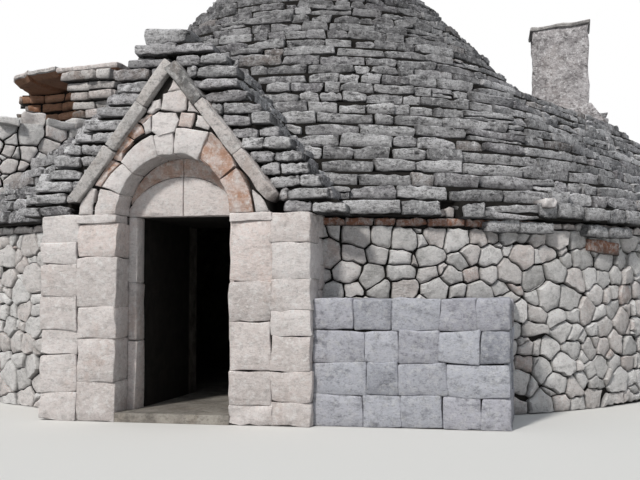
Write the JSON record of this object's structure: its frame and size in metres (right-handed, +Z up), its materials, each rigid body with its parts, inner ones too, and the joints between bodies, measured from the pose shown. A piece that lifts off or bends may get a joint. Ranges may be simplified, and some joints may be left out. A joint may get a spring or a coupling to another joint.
{
  "type": "trullo house",
  "caption": "Dry-stone trullo house with a corbelled stone roof, gabled arched porch, chimney over a hearth alcove and a half fallen side room.",
  "frame": {"origin": "axis of the main roof at ground level", "axes": "porch faces -Y, +X to the chimney's side, +Z up"},
  "size_m": [11.8313, 10.02, 5.8],
  "materials": {
    "roof_stone": "rough",
    "wall_stone": "rough",
    "gable_stone": "rough",
    "slab_stone": "rough",
    "rust_stone": "rough",
    "render_plaster": "matte",
    "block_stone": "rough",
    "floor_stone": "rough"
  },
  "bodies": {
    "root": {"floor_slab": "floor_stone", "threshold_stone": "floor_stone", "wall_front_right": "wall_stone", "wall_right": "wall_stone", "wall_back_right": "wall_stone", "wall_back": "wall_stone", "wall_left": "wall_stone", "wall_front_left": "wall_stone", "passage_lintels": "floor_stone", "eave_front": "roof_stone", "eave_right": "roof_stone", "eave_back": "roof_stone", "eave_left": "roof_stone", "roof_lower_front": "roof_stone", "roof_lower_right": "roof_stone", "roof_lower_back": "roof_stone", "roof_lower_left": "roof_stone", "roof_middle_front": "roof_stone", "roof_middle_right": "roof_stone", "roof_middle_back": "roof_stone", "roof_middle_left": "roof_stone", "roof_upper_front": "roof_stone", "roof_upper_back": "roof_stone", "cap_stone": "roof_stone", "porch_left_pier": "gable_stone", "porch_right_pier": "gable_stone", "door_jambs": "gable_stone", "impost_stones": "gable_stone", "arch_voussoirs": "gable_stone", "tympanum_slabs": "gable_stone", "tympanum_band": "gable_stone", "gable_wall": "gable_stone", "left_rake_stones": "slab_stone", "right_rake_stones": "slab_stone", "porch_roof_left": "roof_stone", "porch_roof_right": "roof_stone", "porch_ridge_stones": "roof_stone", "chimney_shaft": "render_plaster", "chimney_cap": "slab_stone", "chimney_skirt": "render_plaster", "annex_wall": "wall_stone", "annex_vault": "rust_stone", "annex_roof_slabs": "slab_stone", "terrace_wall": "block_stone", "terrace_fill": "block_stone"}
  },
  "joints": []
}
